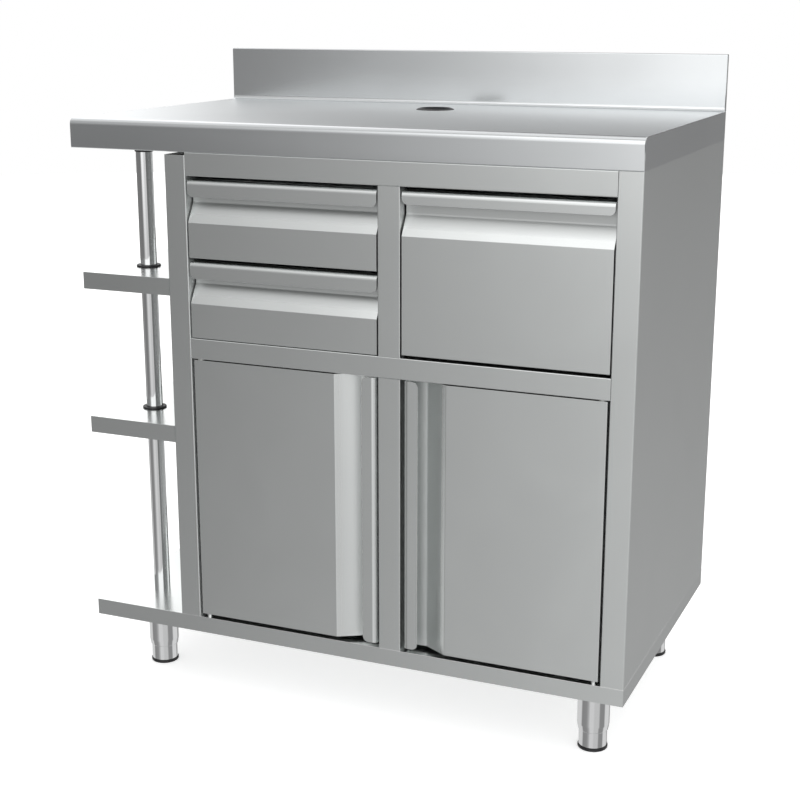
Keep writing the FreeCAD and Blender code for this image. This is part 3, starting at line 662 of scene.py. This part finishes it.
@dataclass
class SheetWork(SubAssembly):
    """Every folded sheet that keeps its CAD form."""

    finishes: dict[str, Finish] = field(default_factory=lambda: {
        "worktop": WORKTOP_STEEL,
        "worktop_stiffeners": BOX_STEEL,
        "post_channel": BOX_STEEL,
        "left_side_panel": LEFT_STEEL,
        "right_side_panel": RIGHT_STEEL,
        "back_panel": BODY_STEEL,
        "top_rail": RAIL_STEEL,
        "middle_rail": RAIL_STEEL,
        "upper_mullion": MULLION_STEEL,
        "lower_mullion": MULLION_STEEL,
        "left_inner_wall": BOX_STEEL,
        "right_inner_wall": BOX_STEEL,
        "centre_partition": BOX_STEEL,
        "dividing_deck": BOX_STEEL,
        "base_tray": TRAY_STEEL,
        "cupboard_shelf": SHELF_STEEL,
        "shelf_supports": BOX_STEEL,
        "upper_side_shelf": SHELF_STEEL,
        "lower_side_shelf": SHELF_STEEL,
        "door_pivot_pins": FASTENER_STEEL,
        "door_magnets": MAGNET_PLASTIC,
    })

    def build(self) -> None:
        """Finish each sheet of the carcass."""
        for node, finish in self.finishes.items():
            self.shop.sheet(node, finish)


@dataclass
class Drawers(SubAssembly):
    """Drawer fronts, boxes and runners."""

    def build(self) -> None:
        """Finish the pieces of each drawer."""
        for name in DRAWERS:
            self.shop.sheet(name + "_front", FRONT_STEEL)
            self.shop.sheet(name + "_box", BOX_STEEL)
            for member in ("outer", "middle", "inner"):
                self.shop.sheet(f"{name}_{member}_runners", RUNNER_STEEL)


@dataclass
class Doors(SubAssembly):
    """Door skins, liners and bushes."""

    def build(self) -> None:
        """Finish the pieces of both doors."""
        for side in SIDES:
            self.shop.sheet(f"{side}_door_skin", DOOR_STEEL)
            self.shop.sheet(f"{side}_door_liner", BOX_STEEL)
            self.shop.sheet(f"{side}_door_bushes", NYLON)


@dataclass
class Posts(SubAssembly):
    """The two posts of the open bay with their collars and caps."""

    wall: float = 1.5 * MM
    collar_radius: float = 22.0 * MM
    collar_height: float = 3.0 * MM
    collar_foot_round: float = 0.6 * MM
    collar_neck_round: float = 0.7 * MM
    cap_length: float = 14.0 * MM
    cap_low: float = 16.2 * MM
    cap_high: float = 21.0 * MM
    cap_rim: float = 1.0 * MM
    cap_mouth_round: float = 0.5 * MM
    cap_rim_round: float = 1.2 * MM

    def build(self) -> None:
        """Turn both posts and the black mouldings on them."""
        levels = [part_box(node)[1].z for node in ("upper_side_shelf", "lower_side_shelf")]
        collars, caps = [], []
        for node in ("front_post", "rear_post"):
            low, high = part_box(node)
            centre = (low + high) / 2
            radius = (high.x - low.x) / 2
            outline = [(radius - self.wall, low.z), (radius, low.z), (radius, high.z),
                       (radius - self.wall, high.z)]
            self.shop.piece(node + "_tube", turned(outline, centre), TUBE_STEEL, CARCASS, node)
            collars += [self.collar(radius, level, centre) for level in levels]
            caps.append(self.cap(radius, high.z, centre))
        self.shop.piece("post_collar_rings", joined(collars), BLACK_PLASTIC, CARCASS, "post_collars")
        self.shop.piece("post_cap_cups", joined(caps), BLACK_PLASTIC, CARCASS, "post_caps")

    def collar(self, radius: float, level: float, centre: Vector) -> Mesh:
        """One ring that lies on a shelf round a post.

        Args:
            radius: the post's radius.
            level: the shelf's upper face.
            centre: a point on the post's axis.

        Returns:
            The ring.
        """
        top = level + self.collar_height
        outline = [(radius, level), (self.collar_radius, level), (self.collar_radius, top), (radius, top)]
        rounds = {1: self.collar_foot_round, 2: self.collar_height / 2, 3: self.collar_neck_round}
        return turned(rounded(outline, rounds), centre)

    def cap(self, radius: float, top: float, centre: Vector) -> Mesh:
        """One flared cup at the head of a post.

        Args:
            radius: the post's radius.
            top: the post's upper end.
            centre: a point on the post's axis.

        Returns:
            The cup.
        """
        low = top - self.cap_length
        outline = [(radius, low), (self.cap_low, low), (self.cap_high, top - self.cap_rim),
                   (self.cap_high, top), (radius, top)]
        return turned(rounded(outline, {1: self.cap_mouth_round, 2: self.cap_rim_round}), centre)


@dataclass
class Legs(SubAssembly):
    """Sleeves, adjustable feet and pads."""

    sleeve_radius: float = 28.0 * MM
    sleeve_wall: float = 1.5 * MM
    taper: float = 11.0 * MM
    shoulder_round: float = 9.0 * MM
    mouth_gap: float = 0.3 * MM
    mouth_round: float = 1.0 * MM
    lip: float = 1.4 * MM
    lip_drop: float = 0.2 * MM
    lip_round: float = 0.68 * MM
    plate_corner: float = 6.0 * MM
    foot_radius: float = 24.5 * MM
    barrel_length: float = 66.5 * MM
    stem_radius: float = 6.0 * MM
    foot_rounds: tuple[float, float, float] = (1.2 * MM, 1.0 * MM, 0.8 * MM)
    pad_rounds: tuple[float, float] = (1.5 * MM, 1.2 * MM)

    def build(self) -> None:
        """Turn the sleeves, feet and pads."""
        for leg in LEGS:
            self.sleeve(leg)
            self.foot(leg)
            self.pad(leg)

    def sleeve(self, leg: str) -> None:
        """A tube drawn in to a lip at its lower end, under its mounting plate.

        Args:
            leg: the leg it belongs to.
        """
        node = f"{leg}_leg_sleeve"
        low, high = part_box(node)
        centre = (low + high) / 2
        inner = self.sleeve_radius - self.sleeve_wall
        mouth = self.foot_radius + self.mouth_gap
        ceiling = high.z - LEG_PLATE
        outline = [
            (mouth, low.z), (mouth + self.sleeve_wall, low.z),
            (self.sleeve_radius, low.z + self.taper), (self.sleeve_radius, ceiling),
            (inner, ceiling), (inner, low.z + self.taper), (mouth, low.z + self.sleeve_wall),
        ]
        tube = turned(rounded(outline, {1: self.mouth_round, 2: self.shoulder_round}), centre)
        bottom = low.z - self.lip_drop
        lip = [(mouth, bottom), (mouth + self.lip, bottom), (mouth + self.lip, bottom + self.lip),
               (mouth, bottom + self.lip)]
        rounds = {corner: self.lip_round for corner in range(4)}
        bead = turned(rounded(lip, rounds, steps=3), centre)
        plate = slab(Vector((high.x - low.x, high.x - low.x, LEG_PLATE)),
                     Vector((centre.x, centre.y, high.z - LEG_PLATE / 2)), self.plate_corner, segments=6)
        self.shop.piece(f"{leg}_sleeve_tube", joined([tube, bead, plate]), TUBE_STEEL, CARCASS, node)

    def foot(self, leg: str) -> None:
        """The foot that slides out of the sleeve.

        Args:
            leg: the leg it belongs to.
        """
        node = f"{leg}_foot"
        low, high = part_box(node)
        shoulder = low.z + self.barrel_length
        outline = [(0.0, low.z), (self.foot_radius, low.z), (self.foot_radius, shoulder),
                   (self.stem_radius, shoulder), (self.stem_radius, high.z), (0.0, high.z)]
        rounds = dict(zip((1, 2, 4), self.foot_rounds))
        mesh = turned(rounded(outline, rounds), (low + high) / 2)
        self.shop.piece(f"{leg}_foot_barrel", mesh, TUBE_STEEL, BODY_OF[node], node)

    def pad(self, leg: str) -> None:
        """The black pad under a foot.

        Args:
            leg: the leg it belongs to.
        """
        node = f"{leg}_foot_pad"
        low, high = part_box(node)
        radius = (high.x - low.x) / 2
        outline = [(0.0, low.z), (radius, low.z), (radius, high.z), (0.0, high.z)]
        mesh = turned(rounded(outline, dict(zip((1, 2), self.pad_rounds))), (low + high) / 2)
        self.shop.piece(f"{leg}_pad_disc", mesh, BLACK_PLASTIC, BODY_OF[node], node)


@dataclass
class TrayEdge(SubAssembly):
    """The rolled edge where the carcass stands on its tray."""

    radius: float = 0.5 * MM

    def build(self) -> None:
        """Lay a bead along the front and the right end of the tray's upper edge."""
        low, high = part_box("base_tray")
        panel_low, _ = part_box("left_side_panel")
        corner = Vector((high.x, low.y, high.z))
        front = bar(Vector((panel_low.x, low.y, high.z)), corner, self.radius)
        end = bar(corner, high, self.radius)
        self.shop.piece("tray_edge_beads", joined([front, end]), FASTENER_STEEL, CARCASS)


@dataclass
class LegBolts(SubAssembly):
    """Four hexagon bolts with washers under the mounting plate of each leg."""

    spacing: float = 34.0 * MM
    head: float = 5.3 * MM
    head_radius: float = 7.5 * MM
    crown: float = 0.6 * MM
    washer: float = 1.6 * MM
    washer_radius: float = 8.0 * MM
    washer_bore: float = 4.2 * MM
    washer_round: float = 0.3 * MM
    clearance: float = 0.02 * MM

    def build(self) -> None:
        """Place the bolts of every leg."""
        for leg in LEGS:
            low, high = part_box(f"{leg}_leg_sleeve")
            centre = (low + high) / 2
            bolts = [self.bolt(Vector((centre.x + across, centre.y + along, high.z - LEG_PLATE)))
                     for across in (-self.spacing, self.spacing)
                     for along in (-self.spacing, self.spacing)]
            self.shop.piece(f"{leg}_leg_bolts", joined(bolts), FASTENER_STEEL, CARCASS)

    def bolt(self, spot: Vector) -> Mesh:
        """A washer against the plate with a bolt head under it.

        Args:
            spot: the bolt's axis at the plate's lower face.

        Returns:
            Both, as one mesh.
        """
        top = spot.z - self.clearance
        outline = [(self.washer_bore, top - self.washer), (self.washer_radius, top - self.washer),
                   (self.washer_radius, top), (self.washer_bore, top)]
        washer = turned(rounded(outline, {1: self.washer_round}, steps=2), spot, steps=32)
        head = bmesh.new()
        bmesh.ops.create_cone(head, cap_ends=True, segments=6, radius1=self.head_radius,
                              radius2=self.head_radius, depth=self.head)
        low_rim = [edge for edge in head.edges if max(vert.co.z for vert in edge.verts) < 0]
        bmesh.ops.bevel(head, geom=low_rim, offset=self.crown, affect="EDGES", segments=2, profile=0.5,
                        material=-1)
        bmesh.ops.translate(head, verts=head.verts,
                            vec=(spot.x, spot.y, spot.z - self.washer - self.head / 2))
        return joined([washer, head])


@dataclass
class Rivets(SubAssembly):
    """Dome-headed rivets."""

    rivet_radius: float = 3.2 * MM
    rivet_height: float = 1.1 * MM
    rim: float = 0.25 * MM
    rim_round: float = 0.4 * MM
    crown_share: float = 0.45
    crown_round: float = 2.2 * MM

    def rivet(self, spot: Vector, way: Vector) -> Mesh:
        """One rivet that stands out of a face.

        Args:
            spot: its middle on the face.
            way: where it points.

        Returns:
            Its head.
        """
        outline = [(0.0, 0.0), (self.rivet_radius, 0.0), (self.rivet_radius, self.rim),
                   (self.rivet_radius * self.crown_share, self.rivet_height), (0.0, self.rivet_height)]
        rounds = {2: self.rim_round, 3: self.crown_round}
        head = turned(rounded(outline, rounds, steps=4), Vector(), steps=32)
        facing(head, way, spot)
        return head


@dataclass
class BackRivets(Rivets):
    """Rivets through the rear folds of both side panels."""

    inset: float = 10.0 * MM
    from_ends: float = 40.0 * MM
    up_a_side: int = 6

    def build(self) -> None:
        """Place a row up each side."""
        left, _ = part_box("left_side_panel")
        _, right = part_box("right_side_panel")
        rivets = []
        for node, x in (("left_side_panel", left.x + self.inset), ("right_side_panel", right.x - self.inset)):
            low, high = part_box(node)
            step = (high.z - low.z - 2 * self.from_ends) / (self.up_a_side - 1)
            rivets += [self.rivet(Vector((x, high.y, low.z + self.from_ends + step * count)), REARWARDS)
                       for count in range(self.up_a_side)]
        self.shop.piece("back_rivets", joined(rivets), FASTENER_STEEL, CARCASS)


@dataclass
class DoorStrikes(SubAssembly):
    """The thin plates on the door liners that the magnets hold."""

    width: float = 13.0 * MM
    thickness: float = 0.3 * MM
    height: float = 36.0 * MM
    corner: float = 2.0 * MM
    inset: float = 7.1 * MM

    def build(self) -> None:
        """Place a plate at the free side of each liner, level with the magnets."""
        magnets_low, magnets_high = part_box("door_magnets")
        for side in SIDES:
            low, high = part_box(f"{side}_door_liner")
            x = high.x - self.inset if side == "left" else low.x + self.inset
            centre = Vector((x, high.y + self.thickness / 2, (magnets_low.z + magnets_high.z) / 2))
            plate = slab(Vector((self.width, self.thickness, self.height)), centre, self.corner,
                         segments=4)
            self.shop.piece(f"{side}_door_strike", plate, FASTENER_STEEL, BODY_OF[f"{side}_door_liner"])


@dataclass
class RunnerRivets(Rivets):
    """Rivets that hold the inner runner members, seen inside the drawers."""

    runner_depth: float = 9.8 * MM
    shares: tuple[float, ...] = (0.08, 0.36, 0.64, 0.92)

    def build(self) -> None:
        """Place a row along each side of every drawer."""
        for name in DRAWERS:
            low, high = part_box(name + "_inner_runners")
            z = (low.z + high.z) / 2
            rows = ((low.x + self.runner_depth, SIDEWAYS), (high.x - self.runner_depth, -SIDEWAYS))
            rivets = [self.rivet(Vector((x, low.y + share * (high.y - low.y), z)), inwards)
                      for x, inwards in rows for share in self.shares]
            self.shop.piece(f"{name}_runner_rivets", joined(rivets), FASTENER_STEEL, BODY_OF[name + "_box"])


@dataclass
class CableGrommet(SubAssembly):
    """The black ring that lines the hole in the worktop."""

    bore: float = 27.8 * MM
    body: float = 29.8 * MM
    rise: float = 3.0 * MM
    seat: float = 0.5 * MM
    brim_edge: float = 1.25 * MM
    crown: float = 2.2 * MM
    brim_round: float = 0.8 * MM
    crown_round: float = 4.0 * MM
    bore_round: float = 1.0 * MM

    def build(self) -> None:
        """Turn the ring."""
        low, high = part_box("cable_grommet")
        brim = (high.x - low.x) / 2
        surface = high.z - self.rise - self.seat
        outline = [(self.bore, low.z), (self.body, low.z), (self.body, surface), (brim, surface),
                   (brim, surface + self.brim_edge), (self.bore + self.crown, high.z),
                   (self.bore, high.z)]
        rounds = {4: self.brim_round, 5: self.crown_round, 6: self.bore_round}
        mesh = turned(rounded(outline, rounds), (low + high) / 2)
        self.shop.piece("cable_grommet_ring", mesh, BLACK_PLASTIC, CARCASS, "cable_grommet")


# Studio


@dataclass(frozen=True)
class Ring:
    """What the steel sees all round at one height of its sky.

    Args:
        height: the upward part of the direction, from -1 straight down to 1 straight up.
        levels: pairs of a bearing and a brightness. A bearing is in degrees from straight in
            front of the station, positive to its right.
    """

    height: float
    levels: tuple[tuple[float, float], ...]


GROUND_LEVELS = (
    (-180.0, 0.72), (-80.0, 0.75), (-68.0, 0.28), (-34.0, 0.31), (-28.0, 0.37), (-23.0, 0.42),
    (-18.0, 0.5), (-14.0, 0.58), (-8.0, 0.74), (15.0, 0.74), (25.0, 0.64), (55.0, 0.64),
    (64.0, 0.3), (98.0, 0.3), (106.0, 0.78), (150.0, 0.78), (160.0, 0.35), (176.0, 0.35),
)
STUDIO_RINGS = (
    Ring(-0.75, GROUND_LEVELS),
    Ring(-0.38, GROUND_LEVELS),
    Ring(-0.16, ((-180.0, 0.9), (-150.0, 0.9), (-140.0, 0.24), (-34.0, 0.2), (-28.7, 0.26), (-23.8, 0.33),
                 (-18.5, 0.42), (-14.8, 0.5), (-8.0, 0.76), (15.0, 0.76), (25.0, 0.65), (55.0, 0.65),
                 (64.0, 0.25), (98.0, 0.25), (106.0, 0.88), (148.0, 0.88), (158.0, 0.27), (176.0, 0.27))),
    Ring(-0.1, ((-180.0, 1.0), (-150.0, 1.0), (-140.0, 0.22), (-40.0, 0.2), (-34.0, 0.16), (-28.7, 0.22),
                (-23.8, 0.31), (-18.5, 0.45), (-14.8, 0.57), (-12.6, 0.68), (-11.4, 1.2), (15.0, 1.0),
                (25.0, 0.72), (55.0, 0.7), (64.0, 0.2), (98.0, 0.2), (106.0, 0.93), (148.0, 0.93),
                (158.0, 0.23), (176.0, 0.23))),
    Ring(-0.07, ((-180.0, 0.4), (-156.0, 0.4), (-150.0, 1.2), (-142.0, 1.2), (-140.0, 0.22), (-34.0, 0.22),
                 (-29.3, 0.24), (-27.0, 0.34), (-24.0, 0.48), (-19.4, 0.7), (-15.5, 0.88), (-12.7, 1.05),
                 (-11.7, 1.4), (15.0, 1.1), (25.0, 0.8), (55.0, 0.78), (64.0, 0.2), (98.0, 0.2),
                 (106.0, 0.95), (148.0, 0.95), (158.0, 0.23), (176.0, 0.23))),
    Ring(0.03, ((-180.0, 0.13), (-152.0, 0.16), (-146.5, 1.7), (-142.0, 1.7), (-136.0, 0.23), (-36.0, 0.2),
                (-28.5, 0.26), (-25.0, 0.38), (-20.0, 0.64), (-15.5, 1.05), (-10.0, 1.5), (55.0, 1.5),
                (64.0, 0.3), (98.0, 0.3), (106.0, 1.1), (148.0, 1.1), (158.0, 0.3), (174.0, 0.25))),
    Ring(0.19, ((-180.0, 0.12), (-152.0, 0.15), (-146.5, 1.8), (-126.0, 1.8), (-112.0, 0.31), (-36.0, 0.28),
                (-29.0, 0.36), (-21.0, 0.54), (-17.0, 1.3), (-10.0, 1.55), (55.0, 1.5), (66.0, 0.4),
                (140.0, 0.5), (163.0, 0.5), (172.0, 0.15))),
    Ring(0.42, ((-180.0, 0.12), (-153.0, 0.15), (-147.0, 1.7), (-126.0, 1.8), (-112.0, 0.31), (-60.0, 0.31),
                (-38.0, 0.44), (-32.0, 0.52), (-23.5, 0.78), (-19.5, 1.4), (55.0, 1.5), (66.0, 0.5),
                (120.0, 0.7), (150.0, 1.1), (163.0, 1.0), (173.0, 0.15))),
    Ring(0.62, ((-180.0, 0.14), (-154.0, 0.25), (-149.0, 1.4), (-120.0, 1.4), (-105.0, 0.6), (-60.0, 0.4),
                (-44.0, 0.42), (-38.0, 0.5), (-34.0, 0.66), (-27.5, 1.45), (55.0, 1.4), (70.0, 0.5),
                (120.0, 0.8), (150.0, 1.1), (163.0, 0.9), (173.0, 0.2))),
    Ring(0.77, ((-180.0, 0.25), (-158.0, 0.5), (-148.0, 1.1), (-122.0, 1.3), (-100.0, 0.9), (-72.0, 0.85),
                (-50.0, 0.6), (-42.0, 0.62), (-36.0, 0.85), (-32.0, 1.35), (-28.0, 1.6), (50.0, 1.4),
                (70.0, 0.6), (120.0, 0.9), (160.0, 0.7), (176.0, 0.25))),
    Ring(0.89, ((-180.0, 0.45), (-150.0, 0.62), (-137.0, 1.1), (-110.0, 0.9), (-90.0, 0.7), (-75.0, 0.95),
                (-50.0, 0.72), (-40.0, 0.5), (50.0, 0.5), (120.0, 0.8), (160.0, 0.5))),
    Ring(0.985, ((-180.0, 1.05),)),
)


@dataclass
class Studio:
    """Floor, surroundings and camera."""

    floor_radius: float = 9.0
    floor_tone: float = 0.86
    floor_roughness: float = 0.9
    floor_glow: float = 0.55
    daylight: float = 1.0
    rings: tuple[Ring, ...] = STUDIO_RINGS
    peak: float = 2.5
    camera_place: Vector = field(default_factory=lambda: Vector((1.0703, -2.5458, 1.2436)))
    camera_yaw: float = 23.04
    camera_dip: float = 14.70
    lens: float = 68.1
    sensor: float = 36.0

    def build(self) -> None:
        """Set up everything that isn't the station."""
        self.floor()
        self.surroundings()
        self.camera()
        bpy.context.scene.view_settings.view_transform = "Standard"

    def floor(self) -> None:
        """A pale round floor that keeps the station's shadow and fades into the background."""
        mesh = bmesh.new()
        bmesh.ops.create_circle(mesh, cap_ends=True, segments=96, radius=self.floor_radius)
        data = bpy.data.meshes.new("studio_floor")
        mesh.to_mesh(data)
        mesh.free()
        floor = bpy.data.objects.new("studio_floor", data)
        bpy.context.scene.collection.objects.link(floor)
        floor.visible_glossy = False
        data.materials.append(self.floor_material())

    def floor_material(self) -> bpy.types.Material:
        """White where nothing shades it, by a glow that only the camera sees.

        Returns:
            A matt material.
        """
        made = Material("studio_floor")
        camera_ray = made.place("ShaderNodeLightPath").outputs["Is Camera Ray"]
        return made.dress(Base_Color=(self.floor_tone,) * 3 + (1.0,), Roughness=self.floor_roughness,
                          Specular_IOR_Level=0.0, Emission_Color=(1.0, 1.0, 1.0, 1.0),
                          Emission_Strength=made.between(camera_ray, 0.0, self.floor_glow))

    def surroundings(self) -> None:
        """White for the camera, even light for matt pieces, and the rings for the steel."""
        world = bpy.data.worlds.new("studio")
        bpy.context.scene.world = world
        world.use_nodes = True
        wiring = Wiring(world.node_tree)
        plain = wiring.nodes["Background"]
        wiring.fill(plain, {"Color": (1.0, 1.0, 1.0, 1.0), "Strength": self.daylight})
        seen = wiring.place("ShaderNodeBackground", {"Color": self.ring_colour(wiring),
                                                     "Strength": self.peak})
        path = wiring.place("ShaderNodeLightPath")
        mix = wiring.place("ShaderNodeMixShader", {"Fac": path.outputs["Is Glossy Ray"],
                                                   1: plain.outputs["Background"],
                                                   2: seen.outputs["Background"]})
        wiring.fill(wiring.nodes["World Output"], {"Surface": mix.outputs["Shader"]})

    def ring_colour(self, wiring: Wiring) -> Socket:
        """Blend each ring into the one above it.

        Args:
            wiring: the world's nodes.

        Returns:
            The colour of the sky in every direction, as a share of the peak.
        """
        bearing, height = self.direction(wiring)
        colour = self.ramp(wiring, bearing, self.rings[0])
        for below, above in zip(self.rings, self.rings[1:]):
            share = wiring.place("ShaderNodeMapRange", {"Value": height, "From Min": below.height,
                                                        "From Max": above.height})
            mix = wiring.place("ShaderNodeMix", {"Factor": share.outputs["Result"], "A": colour,
                                                 "B": self.ramp(wiring, bearing, above)},
                               data_type="RGBA")
            colour = mix.outputs["Result"]
        return colour

    @staticmethod
    def direction(wiring: Wiring) -> tuple[Socket, Socket]:
        """Split a direction into its bearing and its height.

        Args:
            wiring: the world's nodes.

        Returns:
            The bearing, as 0 to 1 once round from straight behind, and the height.
        """
        view = wiring.place("ShaderNodeTexCoord").outputs["Generated"]
        split = wiring.place("ShaderNodeSeparateXYZ", {"Vector": view})
        forward = wiring.place("ShaderNodeMath", {0: split.outputs["Y"], 1: -1.0}, operation="MULTIPLY")
        angle = wiring.place("ShaderNodeMath", {0: split.outputs["X"], 1: forward.outputs["Value"]},
                             operation="ARCTAN2")
        turn = wiring.place("ShaderNodeMapRange", {"Value": angle.outputs["Value"],
                                                   "From Min": -math.pi, "From Max": math.pi})
        return turn.outputs["Result"], split.outputs["Z"]

    def ramp(self, wiring: Wiring, bearing: Socket, ring: Ring) -> Socket:
        """The brightness of one ring at a bearing.

        Args:
            wiring: the world's nodes.
            bearing: the bearing, as 0 to 1.
            ring: the ring.

        Returns:
            Its brightness, as a share of the peak.
        """
        ramp = wiring.place("ShaderNodeValToRGB", {"Fac": bearing})
        levels = ring.levels + ((180.0, ring.levels[0][1]),)
        while len(ramp.color_ramp.elements) < len(levels):
            ramp.color_ramp.elements.new(1.0)
        for element, (angle, level) in zip(ramp.color_ramp.elements, levels):
            element.position = (angle + 180.0) / 360.0
            element.color = (level / self.peak,) * 3 + (1.0,)
        return ramp.outputs["Color"]

    def camera(self) -> None:
        """Look at the station from its right front, a little above it."""
        data = bpy.data.cameras.new("camera")
        data.lens = self.lens
        data.sensor_width = self.sensor
        camera = bpy.data.objects.new("camera", data)
        bpy.context.scene.collection.objects.link(camera)
        camera.location = self.camera_place
        camera.rotation_euler = (math.radians(90.0 - self.camera_dip), 0.0, math.radians(self.camera_yaw))
        bpy.context.scene.camera = camera


def main() -> None:
    """Build the sub-assemblies in order, then the studio."""
    logging.basicConfig(level=logging.INFO, format="%(name)s: %(message)s")
    shop = Workshop()
    assemblies = (SheetWork, Drawers, Doors, Posts, Legs, TrayEdge, LegBolts, BackRivets, DoorStrikes,
                  RunnerRivets, CableGrommet)
    for made in [assembly(shop) for assembly in assemblies] + [Studio()]:
        made.build()
        log.info("%s done", type(made).__name__)


if __name__ == "__main__":
    main()
